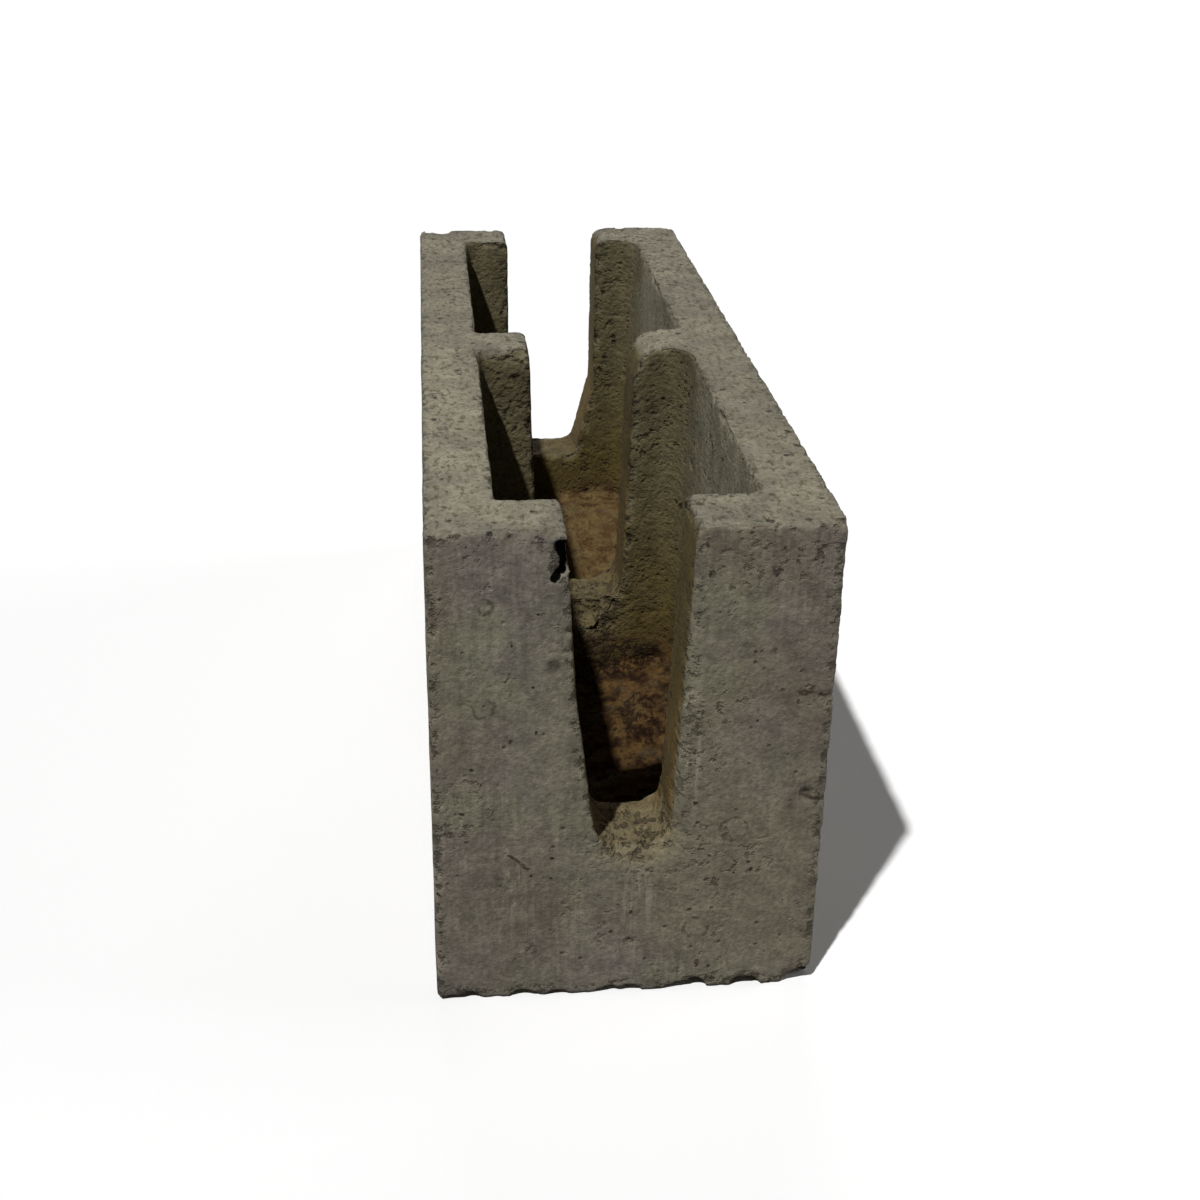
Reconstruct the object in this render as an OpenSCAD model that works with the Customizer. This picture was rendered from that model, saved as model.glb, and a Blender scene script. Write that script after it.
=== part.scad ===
// Hollow concrete bond-beam block, pressed as one piece.
// Two open cells run from top to bottom, and a round-nosed notch in each of the
// three cross webs makes one channel along the block for a reinforcing bar and grout.
// The front web's notch is narrower than the others.
// Millimetres. X is the width, Y the length, Z up; the origin is the middle of the bed face.

/* [Block] */
// Width of the block, across its two long faces
block_width = 140; // [130:1:200]
// Length of the block, from end face to end face
block_length = 390; // [350:1:420]
// Height of the block
block_height = 190; // [180:1:220]
// Rounding of the four upright outer corners
corner_radius = 4; // [1:0.5:10]

/* [Cells] */
// Number of open cells in a row along the block
cell_count = 2; // [1:1:3]
// Thickness of the long walls at the top
shell_thickness = 25; // [20:1:32]
// Thickness of the cross webs at the top
web_thickness = 28; // [22:1:40]
// Extra thickness that each wall face gains from the top to the bottom
wall_draft = 2; // [0.5:0.5:5]
// Rounding of the upright corners inside a cell
cell_corner_radius = 6; // [3:1:20]

/* [Notches] */
// Depth of the notches below the top of the block
notch_depth = 124; // [80:1:140]
// Rounding of the two top edges beside a notch
notch_lip_radius = 4; // [1:0.5:8]
// Width of the front web's notch at the top
front_notch_width = 41; // [34:1:52]
// Radius of the round floor of the front web's notch
front_nose_radius = 12.5; // [6:0.5:16]
// Width of the other webs' notches at the top
notch_width = 45; // [38:1:56]
// Radius of the round floor of the other webs' notches
nose_radius = 18.5; // [8:0.5:19]

/* [Hidden] */
// Smoothness of the round surfaces
$fn = 64;
// How far each cut runs past the faces that it opens
overrun = 10;
// Height of the thin slices that a cell is stretched between
slice_height = 0.1;

// Cell pitch and the size of a cell at the top
web_pitch = (block_length - web_thickness) / cell_count;
cell_width = block_width - 2 * shell_thickness;
cell_length = web_pitch - web_thickness;
first_cell_y = -(cell_count - 1) * web_pitch / 2;

// Where the cut of the front notch ends and that of the others starts, inside the first cell
front_cut_end_y = -block_length / 2 + web_thickness + overrun;

concrete_colour = [0.49, 0.47, 0.41];

// A rectangle about the origin with four round corners
module rounded_rectangle(width, length, radius) {
    square([width - 2 * radius, length], center = true);
    square([width, length - 2 * radius], center = true);
    for (x = [-1, 1], y = [-1, 1])
        translate([x * (width / 2 - radius), y * (length / 2 - radius)])
            circle(r = radius);
}

// The pressed body before anything is taken out of it
module outer_body() {
    linear_extrude(block_height)
        rounded_rectangle(block_width, block_length, corner_radius);
}

// A thin slice of a cell at height z; the walls lean in by the draft from the top down
module cell_slice(z) {
    lean = 2 * wall_draft * (block_height - z) / block_height;
    translate([0, 0, z])
        linear_extrude(slice_height)
            rounded_rectangle(cell_width - lean, cell_length - lean, cell_corner_radius);
}

// One cell, a little wider at the top than at the bottom so that the mould's core pulls out
module cell() {
    hull() {
        cell_slice(-overrun);
        cell_slice(block_height + overrun);
    }
}

// Half of a notch's outline, from its middle to its +X side. The straight side runs from the top
// corner to a tangent on the round nose, and the lip's centre lies one radius below the top and
// one radius inside the side.
module half_notch(half_width, radius) {
    nose_z = block_height - notch_depth + radius;
    corner_rise = block_height - nose_z;
    draft_angle = acos(radius / norm([half_width, corner_rise])) - atan2(corner_rise, half_width);
    outward = [cos(draft_angle), -sin(draft_angle)];
    lip_centre = [
        half_width - notch_lip_radius * tan(draft_angle) + notch_lip_radius / cos(draft_angle),
        block_height - notch_lip_radius
    ];
    polygon([
        [0, nose_z],
        [0, nose_z] + radius * outward,
        [half_width, block_height],
        [half_width, block_height + overrun],
        [0, block_height + overrun]
    ]);
    difference() {
        polygon([
            lip_centre - notch_lip_radius * outward,
            [half_width, block_height],
            [half_width, block_height + overrun],
            [lip_centre.x, block_height + overrun],
            lip_centre
        ]);
        translate(lip_centre)
            circle(r = notch_lip_radius);
    }
}

// Outline of a notch seen along the block: straight sides, a round nose and round lips
module notch_outline(width, radius) {
    translate([0, block_height - notch_depth + radius])
        circle(r = radius);
    half_notch(width / 2, radius);
    mirror([1, 0])
        half_notch(width / 2, radius);
}

// A cut along the block between two places, which notches every web on its way
module notch_cut(start_y, end_y, width, radius) {
    translate([0, end_y, 0])
        rotate([90, 0, 0])
            linear_extrude(end_y - start_y)
                notch_outline(width, radius);
}

// The whole block
module block() {
    color(concrete_colour)
        difference() {
            outer_body();
            for (i = [0 : cell_count - 1])
                translate([0, first_cell_y + i * web_pitch, 0])
                    cell();
            notch_cut(-block_length / 2 - overrun, front_cut_end_y, front_notch_width, front_nose_radius);
            notch_cut(front_cut_end_y, block_length / 2 + overrun, notch_width, nose_radius);
        }
}

block();
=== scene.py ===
# %% [markdown]
# A weathered concrete block.
# The real block was pressed in a steel mould from a dry mix of cement, sand and fine gravel.
# It is one piece: two long shells, three cross webs, two open cells and a round-floored notch
# in every web. This lesson models that one piece as it was made: the plain body first, then the
# cells and notches that the mould's cores left, then years of knocks and dirt, and the finish last.
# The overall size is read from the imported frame, so that the picture and the solid agree.

# %% Load the frame
import math
import random

import bmesh
import bpy
from mathutils import Matrix, Vector


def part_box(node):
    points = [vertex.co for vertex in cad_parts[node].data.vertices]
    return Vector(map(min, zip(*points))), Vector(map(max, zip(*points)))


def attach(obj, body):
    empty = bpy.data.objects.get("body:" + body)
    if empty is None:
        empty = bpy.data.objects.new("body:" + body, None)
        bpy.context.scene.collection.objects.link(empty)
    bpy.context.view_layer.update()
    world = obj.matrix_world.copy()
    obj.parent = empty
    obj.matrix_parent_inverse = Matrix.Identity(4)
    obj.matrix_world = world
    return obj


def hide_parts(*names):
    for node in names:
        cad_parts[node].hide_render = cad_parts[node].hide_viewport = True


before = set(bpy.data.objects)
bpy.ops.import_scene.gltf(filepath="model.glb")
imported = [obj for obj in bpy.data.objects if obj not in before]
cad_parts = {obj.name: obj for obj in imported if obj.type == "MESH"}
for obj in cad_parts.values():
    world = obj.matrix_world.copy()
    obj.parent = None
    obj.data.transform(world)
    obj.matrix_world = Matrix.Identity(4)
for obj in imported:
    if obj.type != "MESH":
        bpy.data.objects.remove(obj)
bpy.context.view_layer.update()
MM = 0.001

block_low, block_high = (Vector(corner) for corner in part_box("block"))
block_size = block_high - block_low
half_width = block_size.x / 2
half_length = block_size.y / 2
height = block_size.z
front_y = block_low.y
back_y = block_high.y
print("block in mm:", [round(side / MM, 1) for side in block_size])

# %% [markdown]
# The camera stands close in front of one end of the block and looks down on it. It could be placed
# by eye, but its place and turn were fitted to the corners that the photograph shows, which is
# truer. The photograph was cropped off centre, so the lens is shifted by a few hundredths of the
# frame.

# %% Camera
PHOTO_WIDTH = 1200
FOCAL_LENGTH_PX = 1548
OPTICAL_CENTRE_PX = (544, 474)
SENSOR_WIDTH_MM = 36.0
CAMERA_PLACE = (-0.0652, -0.6422, 0.4030)
CAMERA_TURN_DEG = (66.715, -0.162, -4.327)
CLIP_START = 20 * MM

bpy.ops.object.camera_add(location=CAMERA_PLACE, rotation=[math.radians(a) for a in CAMERA_TURN_DEG])
camera = bpy.context.object
camera.name = "camera"
camera.data.sensor_width = SENSOR_WIDTH_MM
camera.data.lens = SENSOR_WIDTH_MM * FOCAL_LENGTH_PX / PHOTO_WIDTH
camera.data.shift_x = (PHOTO_WIDTH / 2 - OPTICAL_CENTRE_PX[0]) / PHOTO_WIDTH
camera.data.shift_y = (OPTICAL_CENTRE_PX[1] - PHOTO_WIDTH / 2) / PHOTO_WIDTH
camera.data.clip_start = CLIP_START
bpy.context.scene.camera = camera
print("lens in mm:", round(camera.data.lens, 1))

# %% [markdown]
# Relief and finish are both built from nodes. Hundreds of Math nodes could be wired one by one, but
# if a small class adds them, a value in a node tree can be handled like a number, and the formulas
# read as formulas. The same class serves the relief, which is a Geometry Nodes modifier, and the
# materials.

# %% Values in a node tree
def plug(tree, value, socket):
    """Link a field to a socket, or write a constant on it."""
    if isinstance(value, Field):
        tree.links.new(value.socket, socket)
    else:
        socket.default_value = value


class Field:
    """One value in a node tree; the operators below add the Math nodes."""

    def __init__(self, tree, socket):
        self.tree = tree
        self.socket = socket

    def math(self, operation, *others):
        node = self.tree.nodes.new("ShaderNodeMath")
        node.operation = operation
        for value, socket in zip((self, *others), node.inputs):
            plug(self.tree, value, socket)
        return Field(self.tree, node.outputs[0])

    def __add__(self, other):
        return self.math("ADD", other)

    def __sub__(self, other):
        return self.math("SUBTRACT", other)

    def __mul__(self, other):
        return self.math("MULTIPLY", other)

    def __neg__(self):
        return self.math("MULTIPLY", -1.0)

    def invert(self):
        node = self.tree.nodes.new("ShaderNodeMath")
        node.operation = "SUBTRACT"
        node.inputs[0].default_value = 1.0
        plug(self.tree, self, node.inputs[1])
        return Field(self.tree, node.outputs[0])

    def abs(self):
        return self.math("ABSOLUTE")

    def max(self, other):
        return self.math("MAXIMUM", other)

    def min(self, other):
        return self.math("MINIMUM", other)

    def ramp(self, start, end):
        """Rise smoothly from 0 at start to 1 at end; start may be the larger one."""
        node = self.tree.nodes.new("ShaderNodeMapRange")
        node.interpolation_type = "SMOOTHSTEP"
        plug(self.tree, self, node.inputs["Value"])
        plug(self.tree, start, node.inputs["From Min"])
        plug(self.tree, end, node.inputs["From Max"])
        return Field(self.tree, node.outputs["Result"])


def any_of(*fields):
    """The largest of several values, so that masks join without passing 1."""
    largest = fields[0]
    for field in fields[1:]:
        largest = largest.max(field)
    return largest


def vector_math(place, operation, other, output=0):
    node = place.tree.nodes.new("ShaderNodeVectorMath")
    node.operation = operation
    plug(place.tree, place, node.inputs[0])
    plug(place.tree, other, node.inputs[1])
    return Field(place.tree, node.outputs[output])


def length_of(vector):
    return vector_math(vector, "LENGTH", (0, 0, 0), 1)


def scaled(vector, amount):
    """A vector or colour times a number; one of the two may be a constant."""
    tree = vector.tree if isinstance(vector, Field) else amount.tree
    node = tree.nodes.new("ShaderNodeVectorMath")
    node.operation = "SCALE"
    plug(tree, vector, node.inputs[0])
    plug(tree, amount, node.inputs["Scale"])
    return Field(tree, node.outputs[0])


def parts(vector):
    """The x, y and z of a vector field."""
    node = vector.tree.nodes.new("ShaderNodeSeparateXYZ")
    plug(vector.tree, vector, node.inputs[0])
    return [Field(vector.tree, output) for output in node.outputs]


print("values ready")

# %% [markdown]
# Concrete has patterns of many sizes: noise for what wanders, and scattered points for holes and
# pits. A texture node's own scale is a bare number, so each helper takes the size of the real
# feature instead and works the scale out.

# %% Patterns in space
def grain_space(place, size):
    """Scale a place so that a feature of the given size (x, y, z) is one unit long."""
    sizes = size if isinstance(size, tuple) else (size, size, size)
    return vector_math(place, "MULTIPLY", [1 / s for s in sizes])


def noise_node(place, size, detail):
    node = place.tree.nodes.new("ShaderNodeTexNoise")
    plug(place.tree, grain_space(place, size), node.inputs["Vector"])
    node.inputs["Scale"].default_value = 1.0
    node.inputs["Detail"].default_value = detail
    return node


def noise(place, size, detail=2.0, roughness=0.5):
    node = noise_node(place, size, detail)
    node.inputs["Roughness"].default_value = roughness
    return Field(place.tree, node.outputs[0])


def warped(place, size, reach):
    """The place, pushed about by a noise of the given size, so that round shapes turn ragged."""
    node = noise_node(place, size, 1.0)
    push = vector_math(Field(place.tree, node.outputs["Color"]), "SUBTRACT", (0.5, 0.5, 0.5))
    return vector_math(place, "ADD", vector_math(push, "MULTIPLY", (reach, reach, reach)))


def scattered(place, spacing):
    """Random points of the given spacing: the distance to the nearest one, and three draws for it."""
    node = place.tree.nodes.new("ShaderNodeTexVoronoi")
    plug(place.tree, grain_space(place, spacing), node.inputs["Vector"])
    node.inputs["Scale"].default_value = 1.0
    return Field(place.tree, node.outputs["Distance"]), *parts(Field(place.tree, node.outputs["Color"]))


def spots(place, spacing, radius, share):
    """Spots of random size and depth; the radius is a share of the spacing."""
    distance, chance, size_draw, depth_draw = scattered(place, spacing)
    reach = (size_draw * 0.6 + 0.4) * radius
    spot = distance.ramp(reach, reach * 0.25)
    return spot * chance.math("LESS_THAN", share) * (depth_draw * 0.6 + 0.4)


def spot_at(place, centre, radii, core=0.4):
    """1 at a centre, falling to 0 at the given distances from it, which are in millimetres."""
    offset = vector_math(place, "SUBTRACT", [c * MM for c in centre])
    return length_of(grain_space(offset, tuple(r * MM for r in radii))).ramp(1.0, core)


print("patterns ready")

# %% [markdown]
# The body starts as a cube at the block's own size. Its four upright corners were rounded by the
# mould. A Bevel modifier would round every edge alike, so those four edges are picked by their
# direction and bevelled in edit mode.

# %% Plain body
CORNER_RADIUS = 2.5 * MM
CORNER_STEPS = 5


def make_active(piece):
    """Select one piece alone, so that the operators act on nothing else."""
    bpy.ops.object.select_all(action="DESELECT")
    piece.select_set(True)
    bpy.context.view_layer.objects.active = piece


def add_box(name, low, high):
    """A cube primitive that fills the box between two corners, with its place in its mesh."""
    bpy.ops.object.select_all(action="DESELECT")
    low, high = Vector(low), Vector(high)
    bpy.ops.mesh.primitive_cube_add(size=1, location=(low + high) / 2, scale=high - low)
    bpy.ops.object.transform_apply(location=True, rotation=False, scale=True)
    bpy.context.object.name = name
    return bpy.context.object


def bevel_edges(piece, chosen, radius, steps):
    """Round the edges whose two end points the test accepts."""
    make_active(piece)
    bpy.ops.object.mode_set(mode="EDIT")
    bpy.ops.mesh.select_mode(type="EDGE")
    bpy.ops.mesh.select_all(action="DESELECT")
    mesh = bmesh.from_edit_mesh(piece.data)
    for edge in mesh.edges:
        edge.select_set(chosen(*(v.co for v in edge.verts)))
    mesh.select_flush_mode()
    bmesh.update_edit_mesh(piece.data)
    bpy.ops.mesh.bevel(offset=radius, segments=steps, affect="EDGES")
    bpy.ops.object.mode_set(mode="OBJECT")


def is_upright(a, b):
    return abs((b - a).normalized().z) > 0.9


block = add_box("concrete_block", block_low, block_high)
bevel_edges(block, is_upright, CORNER_RADIUS, CORNER_STEPS)
print("body faces:", len(block.data.polygons))

# %% [markdown]
# The mould's cores left two cells that are a little wider at the top, so that the cores pulled
# out. The cells could be inset and extruded downwards, but a core can be shaped by itself first: a
# cube whose bottom face is drawn in, with its upright edges rounded, most at the right and back,
# where the core was worn. It is then cut out of the body with a Boolean modifier.

# %% Cells
SHELL = 25 * MM
WEB = 28 * MM
DRAFT = 2 * MM
# Radius of each upright corner of a cell, by its side in x and y
CELL_CORNERS = {(-1, -1): 1.5 * MM, (1, -1): 4 * MM, (-1, 1): 3 * MM, (1, 1): 11 * MM}
CELL_CORNER_STEPS = 6
OVERRUN = 10 * MM

cell_half_width = half_width - SHELL
cell_half_length = (block_size.y - 3 * WEB) / 4
cell_centre_y = (WEB + 2 * cell_half_length) / 2
cell_centres = (-cell_centre_y, cell_centre_y)


def combine(piece, tool, operation="DIFFERENCE"):
    """Cut the tool out of the piece, or join it on, and delete the tool."""
    make_active(piece)
    bpy.ops.object.modifier_add(type="BOOLEAN")
    modifier = piece.modifiers[-1]
    modifier.object = tool
    modifier.operation = operation
    modifier.solver = "MANIFOLD"
    bpy.ops.object.modifier_apply(modifier=modifier.name)
    bpy.data.objects.remove(tool, do_unlink=True)


def cell_core(centre_y):
    """A core for one cell, tapered by the draft and round at its upright corners."""
    lean_up = DRAFT * OVERRUN / height
    core = add_box(
        "cell_core",
        (-cell_half_width - lean_up, centre_y - cell_half_length - lean_up, -OVERRUN),
        (cell_half_width + lean_up, centre_y + cell_half_length + lean_up, height + OVERRUN))
    bpy.ops.object.mode_set(mode="EDIT")
    bpy.ops.mesh.select_all(action="DESELECT")
    mesh = bmesh.from_edit_mesh(core.data)
    for vertex in mesh.verts:
        vertex.select_set(vertex.co.z < 0)
    mesh.select_flush_mode()
    bmesh.update_edit_mesh(core.data)
    drawn_in = DRAFT * (height + 2 * OVERRUN) / height
    shrink = (1 - drawn_in / cell_half_width, 1 - drawn_in / cell_half_length, 1)
    bpy.ops.transform.resize(value=shrink, center_override=(0, centre_y, -OVERRUN))
    bpy.ops.object.mode_set(mode="OBJECT")
    for (side_x, side_y), radius in CELL_CORNERS.items():
        bevel_edges(
            core,
            lambda a, b: is_upright(a, b) and a.x * side_x > 0 and (a.y - centre_y) * side_y > 0,
            radius, CELL_CORNER_STEPS)
    return core


for centre_y in cell_centres:
    combine(block, cell_core(centre_y))
print("faces with cells:", len(block.data.polygons))

# %% [markdown]
# A plug pressed the notch into each web. The three plugs wore differently, so one plug can't be
# copied: each notch has its own outline of a few corners, some of them rounded by an arc, which is
# filled and extruded through the web.

# %% Notch plugs
NOTCH_FLOOR = 66
TOP = height / MM

# For each notch: the web's middle y, the outline's corners as (x, z, radius) in millimetres from the
# top left to the top right, and the radii of the left and the right lip
notches = (
    (front_y + WEB / 2,
     ((-22.6, TOP, 0), (-18.7, 125, 40), (-11, NOTCH_FLOOR, 9), (13.2, NOTCH_FLOOR, 9), (17, 150, 0),
      (18.6, TOP, 0)),
     (1 * MM, 2.5 * MM)),
    (0.0,
     ((-22.6, TOP, 0), (-18.2, NOTCH_FLOOR, 15), (18.3, NOTCH_FLOOR, 14), (21.8, TOP, 0)),
     (3 * MM, 14 * MM)),
    (back_y - WEB / 2,
     ((-22.4, TOP, 0), (-21, NOTCH_FLOOR, 14), (13.5, NOTCH_FLOOR, 5), (23.6, 106, 30), (23.8, TOP, 0)),
     (4 * MM, 7 * MM)),
)


def rounded_corner(before, corner, after, radius, steps=8):
    """The points of an arc that rounds one corner of an outline."""
    if radius == 0:
        return [corner]
    back, on = (before - corner).normalized(), (after - corner).normalized()
    half_angle = back.angle(on) / 2
    centre = corner + (back + on).normalized() * radius / math.sin(half_angle)
    start = corner + back * radius / math.tan(half_angle) - centre
    turn = math.pi - 2 * half_angle
    return [centre + Matrix.Rotation(turn * step / steps, 2) @ start for step in range(steps + 1)]


def notch_plug(web_y, corners):
    """The outline, carried on past the top, as a solid that reaches through the web."""
    reach = WEB / 2 + OVERRUN
    places = [Vector(corner[:2]) for corner in corners]
    points = [Vector((places[0].x, TOP + OVERRUN / MM)), places[0]]
    for before, corner, after, (_, _, radius) in zip(places, places[1:], places[2:], corners[1:]):
        points += rounded_corner(before, corner, after, radius)
    points += [places[-1], Vector((places[-1].x, TOP + OVERRUN / MM))]
    mesh = bpy.data.meshes.new("notch_plug")
    mesh.from_pydata([(p.x * MM, web_y - reach, p.y * MM) for p in points], [], [range(len(points))])
    solid = bpy.data.objects.new("notch_plug", mesh)
    bpy.context.collection.objects.link(solid)
    make_active(solid)
    bpy.ops.object.mode_set(mode="EDIT")
    bpy.ops.mesh.select_all(action="SELECT")
    bpy.ops.mesh.extrude_region_move(TRANSFORM_OT_translate={"value": (0, 2 * reach, 0)})
    bpy.ops.mesh.select_all(action="SELECT")
    bpy.ops.mesh.normals_make_consistent(inside=False)
    bpy.ops.object.mode_set(mode="OBJECT")
    return solid


print("notches:", len(notches))

# %% [markdown]
# The lips between notch and top are round too, and the middle web's right one is worn right down.
# So wide a bevel would fold over at the web's ends, so a lip is rounded by cutting off what lies
# outside a cylinder along it. The front notch's floor and right side run out into the front face in
# a soft round, which is narrow enough for a bevel.

# %% Notches and their lips
LIP_MARGIN = 1 * MM
LIP_SIDES = 64
WORN_ROUND = 6 * MM
WORN_STEPS = 6
WORN_ACROSS = (-8 * MM, 18 * MM)
WORN_UPWARDS = (50 * MM, 155 * MM)
ON_FACE = 0.1 * MM


def lip_cutter(web_y, side_x, radius, outward):
    """What lies outside the rounding of a lip; outward is -1 on the left of a notch, 1 on its right."""
    reach = WEB / 2 + LIP_MARGIN
    centre_x = side_x + outward * radius
    edge_x = side_x - outward * 2 * LIP_MARGIN
    cutter = add_box("lip_cutter", (min(edge_x, centre_x), web_y - reach, height - radius),
                     (max(edge_x, centre_x), web_y + reach, height + OVERRUN))
    bpy.ops.object.select_all(action="DESELECT")
    bpy.ops.mesh.primitive_cylinder_add(vertices=LIP_SIDES, radius=radius, depth=2 * reach + OVERRUN,
                                        location=(centre_x, web_y, height - radius),
                                        rotation=(math.pi / 2, 0, 0))
    bpy.ops.object.transform_apply(location=True, rotation=True, scale=True)
    combine(cutter, bpy.context.object)
    return cutter


def on_worn_edge(place):
    on_front = abs(place.y - front_y) < ON_FACE
    across = WORN_ACROSS[0] < place.x < WORN_ACROSS[1]
    return on_front and across and WORN_UPWARDS[0] < place.z < WORN_UPWARDS[1]


for web_y, corners, lip_radii in notches:
    combine(block, notch_plug(web_y, corners))
    for corner, lip_radius, outward in zip((corners[0], corners[-1]), lip_radii, (-1, 1)):
        combine(block, lip_cutter(web_y, corner[0] * MM, lip_radius, outward))
bevel_edges(block, lambda a, b: on_worn_edge(a) and on_worn_edge(b), WORN_ROUND, WORN_STEPS)
print("faces with notches:", len(block.data.polygons))

# %% [markdown]
# Dirt has caked in the bottom of both cells, against the middle and the back web. As a piece of its
# own it would need an edge that fits the walls. So each cake is a box whose front is extruded and
# pressed down to a thin toe, joined on with a Boolean modifier, and the block stays one mesh.

# %% Caked dirt
CAKE_BASE = 1.5 * MM
CAKE_SINK = 4 * MM
THINNEST = 1 * MM

# For each cake: y of the web's face that it leans on, its level length, the length of its slope,
# its height at the web and at its toe, and how much it rises to the right
cakes = (
    (-WEB / 2, 100 * MM, 22 * MM, 30 * MM, 9 * MM, 0.25),
    (back_y - WEB, 22 * MM, 74 * MM, 42 * MM, 14 * MM, 0.0),
)


def caked_dirt(face_y, length, slope, rise, toe, lean):
    cake = add_box("cake", (-cell_half_width - CAKE_SINK, face_y - length, CAKE_BASE),
                   (cell_half_width + CAKE_SINK, face_y + CAKE_SINK, rise))
    bpy.ops.object.mode_set(mode="EDIT")
    bpy.ops.mesh.select_mode(type="FACE")
    bpy.ops.mesh.select_all(action="DESELECT")
    mesh = bmesh.from_edit_mesh(cake.data)
    for face in mesh.faces:
        face.select_set(face.normal.y < -0.9)
    bmesh.update_edit_mesh(cake.data)
    bpy.ops.mesh.extrude_region_move(TRANSFORM_OT_translate={"value": (0, -slope, 0)})
    bpy.ops.object.mode_set(mode="OBJECT")
    for vertex in cake.data.vertices:
        if vertex.co.z > toe and vertex.co.y < face_y - length - slope / 2:
            vertex.co += Vector((0, 0, toe - rise))
    for vertex in cake.data.vertices:
        if vertex.co.z > CAKE_BASE + THINNEST:
            vertex.co.z = max(vertex.co.z + lean * vertex.co.x, CAKE_BASE + THINNEST)
    return cake


for cake_sizes in cakes:
    combine(block, caked_dirt(*cake_sizes), "UNION")
print("faces with dirt:", len(block.data.polygons))

# %% [markdown]
# The relief needs an even skin of small faces, which Boolean cuts don't leave, so the body is
# remeshed. Smoothing then wears its sharp edges down, as handling and weather did. Bevelling every
# edge would look too neat for a worn block.

# %% Worn edges
COARSE_SKIN = 1.25 * MM
WEAR_SHARE = 0.5
WEAR_ROUNDS = 1


def even_skin(piece, voxel):
    """Remesh a piece to faces of about the voxel's size and smooth it."""
    make_active(piece)
    bpy.ops.object.modifier_add(type="REMESH")
    piece.modifiers[-1].mode = "VOXEL"
    piece.modifiers[-1].voxel_size = voxel
    bpy.ops.object.modifier_apply(modifier=piece.modifiers[-1].name)
    bpy.ops.object.modifier_add(type="SMOOTH")
    piece.modifiers[-1].factor = WEAR_SHARE
    piece.modifiers[-1].iterations = WEAR_ROUNDS
    bpy.ops.object.modifier_apply(modifier=piece.modifiers[-1].name)


even_skin(block, COARSE_SKIN)
print("skin faces:", len(block.data.polygons))

# %% [markdown]
# Knocks took pieces out of the arrises. They could be sculpted, but a list is easier to change. A
# chip has a place and three radii. The ones that the photograph shows are listed one by one, and the
# rest are strewn along the edges from a seeded random generator, so that every run is the same.

# %% Places of the chips
CHIP_SEED = 7
STRAY = 0.8
SQUASH = (0.7, 1.5)
SIDE = half_width / MM
END = half_length / MM
BITE_Y = -197
BITE_DEPTH = 9.0
BITE_SINK = 0.6
rng = random.Random(CHIP_SEED)

# Seen in the photograph, in millimetres: (place), (radii)
chips = [
    # crack that runs down and left from the front notch; its inside gets painted shadow in the finish
    ((-25.2, -195.0, 183.6), (2.4, 7.0, 2.4)),
    ((-22.8, -194.0, 182.0), (2.4, 9.0, 3.6)),
    ((-22.4, -193.5, 177.8), (2.6, 9.0, 2.8)),
    ((-24.6, -195.0, 174.4), (2.4, 6.0, 1.8)),
    ((-26.8, -195.5, 172.6), (1.7, 4.5, 1.2)),
    # crumbled edge of the front notch below it
    ((-22.4, -196.0, 168.0), (2.0, 4.0, 1.3)),
    ((-20.8, -196.0, 152.6), (2.8, 4.5, 2.2)),
    ((-20.4, -196.0, 146.0), (1.8, 4.0, 1.4)),
    ((-20.0, -196.0, 139.6), (2.2, 4.0, 2.4)),
    ((-18.6, -196.0, 121.5), (1.5, 3.6, 1.6)),
    ((-15.2, -196.0, 95.0), (1.8, 4.0, 2.6)),
    # crumbled floor of the middle notch
    ((-3.0, -18.0, 67.0), (17.0, 13.0, 12.0)),
    ((8.0, -17.0, 71.0), (6.0, 8.0, 6.0)),
    # top edge of the front, left of the notch
    ((-45.8, -195.0, 189.5), (3.6, 3.0, 2.6)),
    ((-37.0, -195.5, 189.5), (3.2, 2.6, 2.6)),
    ((-28.0, -194.5, 189.5), (3.8, 3.4, 2.4)),
    # front right corner
    ((72.6, -196.0, 192.4), (8.0, 8.0, 8.0)),
    ((70.5, -194.0, 178.0), (2.0, 2.4, 2.6)),
    ((70.5, -195.0, 124.5), (4.0, 3.6, 1.8)),
    ((70.5, -195.0, 81.5), (4.0, 3.6, 1.8)),
    # bottom right corner of the front
    ((73.5, -197.0, -2.0), (6.0, 9.0, 10.0)),
    # crumbled front edge of the middle web on the left
    ((-41.0, -15.0, 190.0), (5.0, 4.0, 4.0)),
    ((-34.0, -15.0, 190.5), (4.0, 3.6, 3.4)),
    ((-27.0, -15.0, 189.5), (4.6, 4.0, 4.4)),
    # corners of the top at the back
    ((73.5, 196.0, 193.0), (9.5, 9.0, 8.0)),
    ((-58.0, 193.0, 190.5), (5.0, 4.5, 3.0)),
    # pits in the top of the right shell
    ((48.5, -116.0, 190.0), (2.6, 1.6, 1.8)),
    ((53.0, -117.0, 190.0), (1.8, 1.4, 1.6)),
    ((58.5, -118.0, 190.0), (3.2, 1.5, 1.8)),
    # gravel hole in the back web
    ((29.1, 168.0, 56.0), (2.4, 2.6, 1.6)),
]

# Bites along the bottom of the front: x, half length, height
front_bites = ((-61, 9, 2.2), (-57.5, 3.5, 3.4), (-36, 8, 2.2), (-25, 4, 1.6), (-7, 6, 2.6), (1.5, 5, 3.6),
               (22, 9, 3.4), (26.5, 4, 4.4), (44.5, 6.5, 4.6), (66, 9.5, 6.0))
for bite_x, reach, rise in front_bites:
    chips.append(((bite_x, BITE_Y, -BITE_SINK), (reach, BITE_DEPTH, rise + BITE_SINK)))


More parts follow.
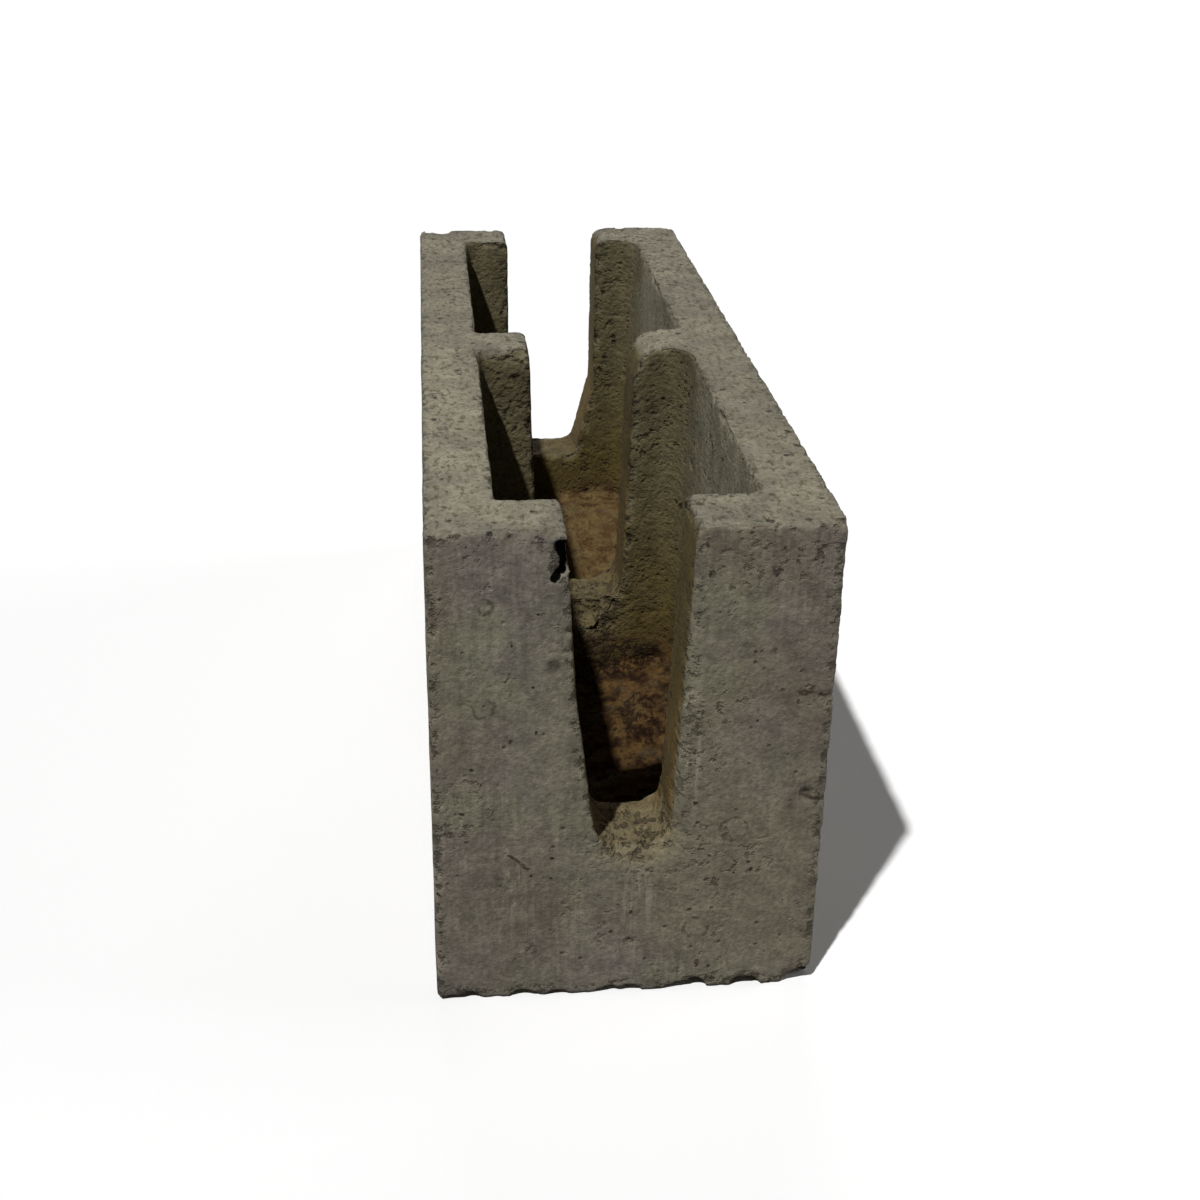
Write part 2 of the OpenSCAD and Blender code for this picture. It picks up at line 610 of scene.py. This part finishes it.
def strew_chips(start, end, count, smallest, largest):
    """Small knocks along one straight arris."""
    for _ in range(count):
        at = Vector(start).lerp(Vector(end), rng.random())
        at += Vector([rng.uniform(-STRAY, STRAY) for _ in range(3)])
        size = rng.uniform(smallest, largest)
        chips.append((at, [size * rng.uniform(*SQUASH) for _ in range(3)]))


for edge_x in (-SIDE, SIDE):
    strew_chips((edge_x, -END, TOP), (edge_x, END, TOP), 8, 1.2, 2.6)
    strew_chips((edge_x, 20 - END, 0), (edge_x, END, 0), 12, 1.5, 4.0)
    strew_chips((edge_x, END, 4), (edge_x, END, TOP - 4), 5, 1.2, 2.2)
    strew_chips((edge_x, -END, 14), (edge_x, -END, TOP - 8), 4, 0.9, 1.5)
strew_chips((-SIDE, END, 0), (SIDE, END, 0), 7, 1.5, 4.0)
strew_chips((-SIDE, END, TOP), (-24, END, TOP), 3, 1.5, 3.0)
strew_chips((24, END, TOP), (SIDE, END, TOP), 3, 1.5, 3.0)
print("chips:", len(chips))

# %% [markdown]
# A chip's cutter is a rough ball: an icosphere, squashed and turned a little, with its points
# jittered. Balls that don't meet are joined and cut together, because one cut of a hundred balls is
# quicker than a hundred cuts. The skin is then evened out once more.

# %% Cut the chips
SKIN = 1.15 * MM
JITTER = 0.16
TILT = 0.4
CLEARANCE = 1.2


def rough_ball(at, radii):
    bpy.ops.object.select_all(action="DESELECT")
    bpy.ops.mesh.primitive_ico_sphere_add(subdivisions=2, radius=1.0)
    ball = bpy.context.object
    for vertex in ball.data.vertices:
        vertex.co *= 1 + rng.uniform(-JITTER, JITTER)
    axis = Vector([rng.uniform(-1, 1) for _ in range(3)]).normalized()
    turn = Matrix.Rotation(rng.uniform(-TILT, TILT), 4, axis)
    shape = Matrix.Diagonal(Vector(radii) * MM).to_4x4()
    ball.data.transform(Matrix.Translation(Vector(at) * MM) @ turn @ shape)
    return ball


def apart(first, second):
    reach = CLEARANCE * (max(first[1]) + max(second[1]))
    return (Vector(first[0]) - Vector(second[0])).length > reach


batches = []
for chip in chips:
    home = next((batch for batch in batches if all(apart(chip, other) for other in batch)), None)
    if home is None:
        home = []
        batches.append(home)
    home.append(chip)
for batch in batches:
    balls = [rough_ball(at, radii) for at, radii in batch]
    bpy.ops.object.select_all(action="DESELECT")
    for ball in balls:
        ball.select_set(True)
    bpy.context.view_layer.objects.active = balls[0]
    bpy.ops.object.join()
    combine(block, balls[0])
even_skin(block, SKIN)
print("cuts:", len(batches), "skin faces:", len(block.data.polygons))

# %% [markdown]
# The pressed surface isn't even: air and missing sand left holes, the notches' floors and the
# arrises crumbled, and the dirt is lumpy. A Displace modifier can push only one texture, so all of
# it is one Geometry Nodes modifier instead. First come masks that tell where a point lies.

# %% Masks on the skin
SOFT_FACING_ROUNDS = 3
ARRIS_ROUNDS = 16
NEAR = 7 * MM
RUBBLE_CORE = 0.5

relief = bpy.data.node_groups.new("pressed_relief", "GeometryNodeTree")
relief.interface.new_socket("Geometry", in_out="INPUT", socket_type="NodeSocketGeometry")
relief.interface.new_socket("Geometry", in_out="OUTPUT", socket_type="NodeSocketGeometry")
skin = Field(relief, relief.nodes.new("NodeGroupInput").outputs[0])
place = Field(relief, relief.nodes.new("GeometryNodeInputPosition").outputs[0])
facing = Field(relief, relief.nodes.new("GeometryNodeInputNormal").outputs[0])


def blurred(vector, rounds):
    node = relief.nodes.new("GeometryNodeBlurAttribute")
    node.data_type = "FLOAT_VECTOR"
    plug(relief, vector, node.inputs["Value"])
    node.inputs["Iterations"].default_value = rounds
    return Field(relief, node.outputs[0])


x, y, z = parts(place)
facing_x, facing_y, facing_z = parts(blurred(facing, SOFT_FACING_ROUNDS))

# On the outside, on the top, underneath, or in the cells and notches
outside = any_of(
    x.abs().ramp(half_width - NEAR, half_width - NEAR / 2) * facing_x.abs().ramp(0.3, 0.7),
    y.abs().ramp(half_length - NEAR, half_length - NEAR / 2) * facing_y.abs().ramp(0.3, 0.7))
topside = facing_z.ramp(0.45, 0.85) * z.ramp(height - 25 * MM, height - 12 * MM)
underside = facing_z.ramp(-0.45, -0.85)
inside = any_of(outside, topside, underside).invert()
web_face = inside * facing_y.abs().ramp(0.15, 0.6)
notch_side = inside * facing_x.abs().ramp(0.4, 0.8) * x.abs().ramp(33 * MM, 28 * MM)

# How far a point stands out from its blurred surroundings tells the arrises and the creases, and the
# creases get painted shade in the finish
around = blurred(place, ARRIS_ROUNDS)
stand_out = vector_math(vector_math(place, "SUBTRACT", around), "DOT_PRODUCT", facing, 1)
arris = stand_out.ramp(0.08 * MM, 0.5 * MM)
painted_crease_shade = stand_out.ramp(-0.3 * MM, -1.0 * MM) * z.ramp(70 * MM, 80 * MM)


def cake_height(face_y, length, slope, rise, toe, lean):
    """How high the dirt lies over a place: level, then falling to its toe, then none."""
    fall = (y - (face_y - length - slope)) * ((rise - toe) / slope) + toe
    over_toe = (y - (face_y - length - slope - 2 * MM)).math("GREATER_THAN", 0.0)
    before_web = (y - (face_y + CAKE_SINK)).math("LESS_THAN", 0.0)
    return (fall.min(rise) + x * lean) * over_toe * before_web


dirt_top = any_of(*(cake_height(*cake) for cake in cakes)) + noise(place, 12 * MM, 5.0, 0.65) * 24 * MM
dirt = (dirt_top - 10 * MM - z).ramp(-2.5 * MM, 2.5 * MM) * inside
stain = (noise(place, 14 * MM, 4.0, 0.6) * 56 * MM + 20 * MM - z).ramp(-12 * MM, 12 * MM) * inside
low_floor = inside * facing_z.ramp(0.2, 0.6) * z.ramp(115 * MM, 95 * MM)
rubble_floor = any_of(
    spot_at(place, (3, -188, 68), (19, 26, 15), RUBBLE_CORE),
    spot_at(place, (3, -8, 63), (24, 28, 26), RUBBLE_CORE),
    low_floor * 0.5) * dirt.invert()
print("mask nodes:", len(relief.nodes))

# %% [markdown]
# Each layer of relief is a depth below the pressed face, and their sum moves a point inwards along
# its normal, so that the block never grows past its size. The finish needs the masks later, so they
# are stored as attributes on the way, and so are patterns that change too slowly to need a texture
# of their own.

# %% Relief
HOLE_DEPTH_MM = 2.0
RUBBLE_DEPTH_MM = 2.2
LUMP_DEPTH_MM = 3.5

ragged = warped(place, 3 * MM, 2.4 * MM)
pocked = noise(place, 30 * MM, 2.0).ramp(0.42, 0.66)
uneven = noise(place, 26 * MM, 3.0, 0.5) * (inside * 0.6 + 0.7) * MM
dusty = noise(place, (5 * MM, 9 * MM, 5 * MM), 3.0, 0.65) * topside * 0.9 * MM
holes = spots(ragged, 15 * MM, 0.25, pocked * 0.3 + 0.04)
stones = scattered(ragged, 5 * MM)[0].ramp(0.25, 0.75)
rubble = (stones * 0.35 + noise(place, 6 * MM, 4.0, 0.62).ramp(0.35, 0.66) * 0.6) * rubble_floor
lumps = noise(place, 10 * MM, 4.0, 0.6).ramp(0.25, 0.75) * dirt * facing_z.ramp(0.3, 0.9)
crumble = noise(place, 8 * MM, 4.0, 0.65).ramp(0.45, 0.7) * arris
crumble = crumble * (inside * 1.1 + 0.6) * rubble_floor.invert()
knocks = holes * HOLE_DEPTH_MM + rubble * RUBBLE_DEPTH_MM + lumps * LUMP_DEPTH_MM + crumble
depth = uneven + dusty + knocks * MM

attributes = {
    "inside": inside, "topside": topside, "web_face": web_face, "arris": arris, "hollow": holes,
    "crease_shade": painted_crease_shade, "dirt": dirt, "rubble": rubble_floor, "notch_side": notch_side, "stain": stain,
    "patches": noise(place, 30 * MM, 4.0, 0.6),
    "broad": noise(place, 70 * MM, 2.0),
    "gathered": noise(place, 26 * MM, 3.0, 0.6).ramp(0.46, 0.64),
    "streaked": noise(place, 45 * MM, 1.0).ramp(0.38, 0.6) * outside,
}


def stored(geometry, name, value):
    node = relief.nodes.new("GeometryNodeStoreNamedAttribute")
    node.data_type = "FLOAT"
    node.domain = "POINT"
    plug(relief, geometry, node.inputs["Geometry"])
    node.inputs["Name"].default_value = name
    plug(relief, value, node.inputs["Value"])
    return Field(relief, node.outputs[0])


for name, value in attributes.items():
    skin = stored(skin, name, value)
mover = relief.nodes.new("GeometryNodeSetPosition")
plug(relief, skin, mover.inputs["Geometry"])
plug(relief, scaled(facing, -depth), mover.inputs["Offset"])
relief.links.new(mover.outputs[0], relief.nodes.new("NodeGroupOutput").inputs[0])

bpy.ops.object.modifier_add(type="NODES")
block.modifiers[-1].node_group = relief
bpy.ops.object.modifier_apply(modifier=block.modifiers[-1].name)
print("attributes:", [a.name for a in block.data.attributes if not a.name.startswith(".")])

# %% [markdown]
# The even skin has more faces than the relief needs. A coarser skin would lose the small holes.
# Collapsing the flattest edges instead keeps the holes and arrises and brings the piece under the
# limit.

# %% Thin the skin
TRIANGLE_LIMIT = 190_000

bpy.ops.object.modifier_add(type="DECIMATE")
block.modifiers[-1].ratio = TRIANGLE_LIMIT / (2 * len(block.data.polygons))
bpy.ops.object.modifier_apply(modifier=block.modifiers[-1].name)
bpy.ops.object.shade_smooth()
print("triangles:", sum(len(p.vertices) - 2 for p in block.data.polygons))

# %% [markdown]
# The finish starts with helpers for colour. A colour is written as it should look, from 0 to 255,
# because that is how one reads it off a real surface. The masks come from the attributes that the
# relief stored.

# %% Colour helpers
concrete = bpy.data.materials.new("weathered_concrete")
concrete.use_nodes = True
nodes = concrete.node_tree
surface = Field(nodes, nodes.nodes.new("ShaderNodeTexCoord").outputs["Object"])
across_block, along_block, above_floor = parts(surface)


def srgb(red, green, blue):
    """A colour from 0 to 255 as the linear colour that a shader takes."""
    def linear(value):
        share = value / 255
        return share / 12.92 if share <= 0.04045 else ((share + 0.055) / 1.055) ** 2.4
    return (linear(red), linear(green), linear(blue), 1.0)


def mask(name):
    node = nodes.nodes.new("ShaderNodeAttribute")
    node.attribute_name = name
    return Field(nodes, node.outputs["Fac"])


def mix(factor, first, second):
    """The first colour where the factor is 0, the second where it is 1."""
    node = factor.tree.nodes.new("ShaderNodeMix")
    node.data_type = "RGBA"
    plug(factor.tree, factor, node.inputs[0])
    plug(factor.tree, first, node.inputs[6])
    plug(factor.tree, second, node.inputs[7])
    return Field(factor.tree, node.outputs[2])


in_cells = mask("inside")
on_top = mask("topside")
on_web = mask("web_face")
on_arris = mask("arris")
in_hole = mask("hollow")
in_dirt = mask("dirt")
in_stain = mask("stain")
on_rubble = mask("rubble")
on_notch_side = mask("notch_side")
# mask of the painted shade in the creases
in_painted_crease_shade = mask("crease_shade")
patches = mask("patches")
broad = mask("broad")
gathered = mask("gathered")
streaked = mask("streaked")
print("masks ready")

# %% [markdown]
# Dry concrete has no single colour, and one flat grey would look like plastic. The outside wanders
# between a greenish, a pinkish and a tan grey, with three wide places on the front that are paler or
# duller. The top has caught pale dust, less of it at the back and the right.

# %% Colours of the outside
GREENISH = srgb(124, 121, 103)
PINKISH = srgb(120, 113, 103)
TAN = srgb(115, 106, 90)
RUBBED_PALE = srgb(124, 120, 99)
DRY_PALE = srgb(126, 120, 103)
DULL = srgb(112, 104, 92)
PALE_DUST = srgb(139, 134, 114)
GREY_DUST = srgb(119, 115, 100)
THIN_DUST = srgb(112, 107, 92)
DUST_SPECK = srgb(88, 78, 60)

speckle = noise(surface, (2.2 * MM, 4.4 * MM, 2.2 * MM), 3.0, 0.65)
around_notch = spot_at(surface, (0, -195, 110), (54, 30, 100))
pale_corner = spot_at(surface, (44, -195, 40), (48, 30, 66))
dull_corner = spot_at(surface, (-46, -195, 36), (36, 30, 62))
less_dust = along_block.ramp(-60 * MM, 130 * MM).max(across_block.ramp(20 * MM, 50 * MM))

face_colour = mix(patches.ramp(0.44, 0.56), GREENISH, PINKISH)
face_colour = mix(broad.ramp(0.4, 0.7), face_colour, TAN)
face_colour = mix(around_notch * 0.6, face_colour, RUBBED_PALE)
face_colour = mix(pale_corner * 0.6, face_colour, DRY_PALE)
face_colour = mix(dull_corner * 0.6, face_colour, DULL)
top_colour = mix(patches.ramp(0.4, 0.62), PALE_DUST, GREY_DUST)
top_colour = mix(less_dust * 0.5, top_colour, THIN_DUST)
top_colour = mix(speckle.ramp(0.5, 0.66) * 0.9, top_colour, DUST_SPECK)
colour = mix(on_top, face_colour, top_colour)
print("colour nodes:", len(nodes.nodes))

# %% [markdown]
# The cells are olive brown and darker towards the bottom. The webs are browner than the walls, and
# the walls take on the webs' colour beside them. The crumbled floors of the notches show fresh tan
# concrete.

# %% Colours of the cells
WEB_LOW = srgb(86, 73, 35)
WEB_HIGH = srgb(102, 95, 70)
WALL_LOW = srgb(100, 86, 56)
WALL_HIGH = srgb(135, 130, 110)
NOTCH_SIDE_LOW = srgb(97, 79, 40)
NOTCH_SIDE_HIGH = srgb(79, 67, 33)
CELL_PATCH = srgb(84, 74, 52)
FRONT_RUBBLE = srgb(117, 106, 80)
MIDDLE_RUBBLE = srgb(98, 88, 63)

web_colour = mix(above_floor.ramp(40 * MM, 165 * MM), WEB_LOW, WEB_HIGH)
wall_colour = mix(above_floor.ramp(50 * MM, 165 * MM), WALL_LOW, WALL_HIGH)
by_middle_web = along_block.ramp(-56 * MM, -24 * MM) * along_block.ramp(8 * MM, 0.0)
by_back_web = along_block.ramp(120 * MM, 155 * MM)
cell_colour = mix(on_web.max(by_middle_web.max(by_back_web) * 0.8), wall_colour, web_colour)
side_colour = mix(above_floor.ramp(90 * MM, 150 * MM), NOTCH_SIDE_LOW, NOTCH_SIDE_HIGH)
cell_colour = mix(on_notch_side, cell_colour, side_colour)
cell_colour = mix(patches.ramp(0.45, 0.65) * 0.4, cell_colour, CELL_PATCH)
colour = mix(in_cells, colour, cell_colour)
rubble_colour = mix(along_block.ramp(-150 * MM, -60 * MM), FRONT_RUBBLE, MIDDLE_RUBBLE)
colour = mix(on_rubble * 0.8, colour, rubble_colour)
print("colour nodes:", len(nodes.nodes))

# %% [markdown]
# The caked dirt is paler at the back, with dark damp crumbs in two places at the front, and it has
# stained the walls just above it. A material of its own would end at a hard line, so the dirt is
# mixed in by its mask.

# %% Dirt
FRONT_DIRT = srgb(97, 74, 44)
FRONT_DIRT_DARK = srgb(36, 24, 15)
BACK_DIRT = srgb(110, 92, 59)
BACK_DIRT_DARK = srgb(74, 55, 34)

mottle = noise(surface, 8 * MM, 3.0, 0.62)
damp_places = any_of(
    spot_at(surface, (22, -62, 34), (11, 30, 14)),
    spot_at(surface, (8, -16, 36), (44, 14, 18)))
crumbs = speckle.ramp(0.47, 0.58) * (damp_places + mottle * 0.8 - 0.5).ramp(0.0, 0.5) * in_cells

front_dirt = mix(mottle.ramp(0.32, 0.66), FRONT_DIRT, FRONT_DIRT_DARK)
back_dirt = mix(mottle.ramp(0.34, 0.66), BACK_DIRT, BACK_DIRT_DARK)
dirt_colour = mix(along_block.ramp(-10 * MM, 10 * MM), front_dirt, back_dirt)
colour = mix(in_stain * 0.75, colour, scaled(dirt_colour, 0.85))
colour = mix(in_dirt, colour, dirt_colour)
print("colour nodes:", len(nodes.nodes))

# %% [markdown]
# Torn places and pits lie in groups and are darkened with painted shade, and the mould dragged faint
# upright streaks down the outside. One noise with different limits serves all the torn places,
# because every noise costs render time.

# %% Torn places, pits and streaks
torn_grain = noise(surface, 4 * MM, 3.0, 0.65)
torn = any_of(
    torn_grain.ramp(0.53, 0.69) * gathered,
    torn_grain.ramp(0.5, 0.62) * on_rubble,
    torn_grain.ramp(0.48, 0.62) * on_arris * on_rubble.invert(),
    torn_grain.ramp(0.54, 0.66) * on_top * along_block.ramp(-60 * MM, 140 * MM))
ragged_surface = warped(surface, 3 * MM, 2.4 * MM)
pits = spots(ragged_surface, 7 * MM, 0.29, gathered * 0.6 + on_top * 0.2 + 0.14)
small_pits = spots(surface, 3.4 * MM, 0.36, on_web * 0.5 + on_top * 0.25 + 0.06)
streaks = noise(surface, (2.4 * MM, 2.4 * MM, 30 * MM), 3.0, 0.7)
grain = noise(surface, 1.6 * MM, 1.0)
print("colour nodes:", len(nodes.nodes))

# %% [markdown]
# A few marks on the front have their own places. They could be painted on an image, but formulas
# stay sharp at any size: a crack is the distance to a line, and the rim of a stone that shows is the
# distance to a ring. Both run along the ragged surface, so that they aren't drawn with a ruler.

# %% Marks on the front
MARK_CORE = 0.2
DEPTH_SHARE = 0.18


def front_place(spot):
    return Vector((spot[0] * MM, front_y, spot[1] * MM))


def from_front(spot):
    """Offset from an (x, z) on the front, in which depth behind the front counts for little."""
    offset = vector_math(ragged_surface, "SUBTRACT", front_place(spot))
    return vector_math(offset, "MULTIPLY", (1.0, DEPTH_SHARE, 1.0))


def line_mark(start, end, width):
    """1 along a straight mark on the front from one (x, z) to another, in millimetres."""
    along = front_place(end) - front_place(start)
    offset = from_front(start)
    share = vector_math(offset, "DOT_PRODUCT", along / along.length_squared, 1).max(0.0).min(1.0)
    distance = length_of(vector_math(offset, "SUBTRACT", scaled(along, share)))
    return distance.ramp(width * MM, MARK_CORE * width * MM)


def ring_mark(centre, radius, width):
    """1 along a ring on the front about (x, z), in millimetres."""
    distance = length_of(from_front(centre))
    return (distance - radius * MM).abs().ramp(width * MM, MARK_CORE * width * MM)


cracks = any_of(
    line_mark((57, 126), (64, 125.6), 1.9),
    line_mark((65, 125), (71, 124.5), 1.2),
    line_mark((60, 84), (71, 81), 1.3),
    line_mark((-43, 64), (-36, 57.5), 0.9)) * torn_grain.ramp(0.34, 0.52)
# the deep crack's inside is painted near black as shadow
crack_shadow_paint = any_of(
    line_mark((-25, 184), (-24, 181), 3.2),
    line_mark((-23.8, 182), (-23.4, 177.4), 3.2),
    line_mark((-23.6, 176.4), (-27.2, 172.6), 2.0)).ramp(0.05, 0.4)
rims = any_of(
    ring_mark((25, 28), 4.5, 1.1),
    ring_mark((-51, 124), 3.6, 1.2),
    ring_mark((37, 71), 5.0, 1.0),
    ring_mark((-50, 163), 2.6, 1.0)) * torn_grain.ramp(0.42, 0.56)
scuffs = any_of(
    spot_at(surface, (21.5, -195, 104), (4.5, 20, 36)),
    spot_at(surface, (2, -195, 42), (9, 20, 20)),
    spot_at(surface, (-41, -195, 50), (5, 20, 18))) * streaks.ramp(0.48, 0.62)
scratch = line_mark((-44, 66), (-41, 40), 1.2) * torn_grain.ramp(0.46, 0.6)
print("colour nodes:", len(nodes.nodes))

# %% [markdown]
# The wear goes over the colours in the order in which it came, with painted light and shade among it:
# first the light and dark of the grain, then what was rubbed pale, together with a painted highlight
# on the arrises, then what is torn, which like the holes, pits and creases is darkened with painted
# shade, and last the damp crumbs and a painted shadow inside the deep crack.

# %% Layers of wear and painted shade
RUBBED_AND_HIGHLIT_ARRIS = srgb(146, 140, 121)
SCUFFED = srgb(160, 153, 136)
# colour of the painted shade in holes, pits, torn places and creases, and of the dark cracks and rims
SHADE_AND_CRACK_DARK = srgb(44, 36, 26)
DAMP_CRUMB = srgb(36, 22, 15)
CRACK_SHADOW = srgb(12, 11, 11)

light = (mottle * 1.2 + 0.4) * (grain * 0.9 + 0.55) * ((streaks - 0.5) * streaked + 1.0)
colour = scaled(colour, light)
# paler arrises: partly rubbed wear, partly a painted highlight where the edges catch the light
colour = mix(on_arris * mottle.ramp(0.42, 0.62) * 0.35, colour, RUBBED_AND_HIGHLIT_ARRIS)
colour = mix(scratch.max(scuffs) * 0.5, colour, SCUFFED)
# painted shade in holes, pits, torn places and creases, together with the dark cracks and stone rims
painted_shade_and_cracks = any_of(in_hole, (pits * 2.6).min(1.0), torn * 0.8, small_pits * 0.75, in_painted_crease_shade * 0.9, cracks,
              rims * 0.7)
colour = mix(painted_shade_and_cracks * 0.86, colour, SHADE_AND_CRACK_DARK)
colour = mix(crumbs * 0.8, colour, DAMP_CRUMB)
# painted shadow inside the deep crack
colour = mix(crack_shadow_paint, colour, CRACK_SHADOW)
print("colour nodes:", len(nodes.nodes))

# %% [markdown]
# Pits of a millimetre are too small for the mesh, so the same pits and torn places dent the surface
# as bump, with fine sand between them. The finish is rough with hardly any shine, and the dirt and
# the crack have less still.

# %% Bump and shader
BUMP_DEPTH = 1.0 * MM
ROUGHNESS = 0.93
SHINE = 0.22

shader = nodes.nodes["Principled BSDF"]
sand = noise(surface, 2.2 * MM, 2.0, 0.65) * (on_top * 0.8 + in_cells * 0.3 + 0.5)
rough_places = on_web + in_dirt + on_rubble * 2.0
height_map = sand - torn * 0.7 - pits * 0.9 - small_pits * 0.6 - torn_grain * rough_places + crumbs * 0.6
bump = nodes.nodes.new("ShaderNodeBump")
bump.inputs["Distance"].default_value = BUMP_DEPTH
bump.inputs["Strength"].default_value = 1.0
plug(nodes, height_map, bump.inputs["Height"])
nodes.links.new(bump.outputs[0], shader.inputs["Normal"])
plug(nodes, colour, shader.inputs["Base Color"])
shader.inputs["Roughness"].default_value = ROUGHNESS
plug(nodes, crack_shadow_paint.max(in_dirt * 0.8).invert() * SHINE, shader.inputs["Specular IOR Level"])

block.data.materials.clear()
block.data.materials.append(concrete)
print("material nodes:", len(nodes.nodes))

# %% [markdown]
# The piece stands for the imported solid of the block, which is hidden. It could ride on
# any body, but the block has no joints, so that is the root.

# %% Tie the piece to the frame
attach(block, "root")
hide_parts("block")
print("tied:", block.name)

# %% [markdown]
# The stage is a plain pale floor under a pale world. A white floor would flood the block with light
# from below, so floor and world are white only as the camera sees them, and dim for all other rays.

# %% Floor and world
FLOOR_SIZE = 12
FLOOR_GREY = (0.3, 0.3, 0.3, 1)
WHITE = (1, 1, 1, 1)
FILL = 0.02


def seen_directly(tree):
    """1 for rays from the camera, also by way of a mirror or glass, and 0 for the rest."""
    path = tree.nodes.new("ShaderNodeLightPath")
    rays = ("Is Camera Ray", "Is Glossy Ray", "Is Transmission Ray")
    return any_of(*(Field(tree, path.outputs[ray]) for ray in rays))


bpy.ops.object.select_all(action="DESELECT")
bpy.ops.mesh.primitive_plane_add(size=FLOOR_SIZE)
floor = bpy.context.object
floor.name = "floor"
floor_finish = bpy.data.materials.new("pale_floor")
floor_finish.use_nodes = True
floor_nodes = floor_finish.node_tree
floor_shader = floor_nodes.nodes["Principled BSDF"]
floor_shader.inputs["Roughness"].default_value = 1.0
floor_shader.inputs["Specular IOR Level"].default_value = 0.0
plug(floor_nodes, mix(seen_directly(floor_nodes), FLOOR_GREY, WHITE), floor_shader.inputs["Base Color"])
floor.data.materials.append(floor_finish)

world = bpy.data.worlds.new("studio")
bpy.context.scene.world = world
world.use_nodes = True
sky = world.node_tree
background = sky.nodes["Background"]
background.inputs["Color"].default_value = WHITE
plug(sky, seen_directly(sky) * (1 - FILL) + FILL, background.inputs["Strength"])
print("stage ready")

# %% [markdown]
# One small, strong key lamp from the front left gives the crisp shadows of the photograph. It leaves
# the right side and the back dark, so two weak, wide lamps fill those. Suns are used because their
# light is even over the whole block.

# %% Lamps
# For each lamp: its name, the direction that it shines from, its strength and its spread in degrees
lamps = (
    ("key", (-0.346, -0.465, 1.0), 3.2, 1.5),
    ("side_fill", (1.0, 0.1, 0.2), 0.9, 30),
    ("back_fill", (0.1, 1.0, 0.2), 0.9, 30),
)
for name, shines_from, strength, spread_deg in lamps:
    bpy.ops.object.light_add(type="SUN")
    lamp = bpy.context.object
    lamp.name = name
    lamp.rotation_euler = Vector(shines_from).to_track_quat("Z", "Y").to_euler()
    lamp.data.energy = strength
    lamp.data.angle = math.radians(spread_deg)
bpy.context.scene.view_settings.view_transform = "Standard"
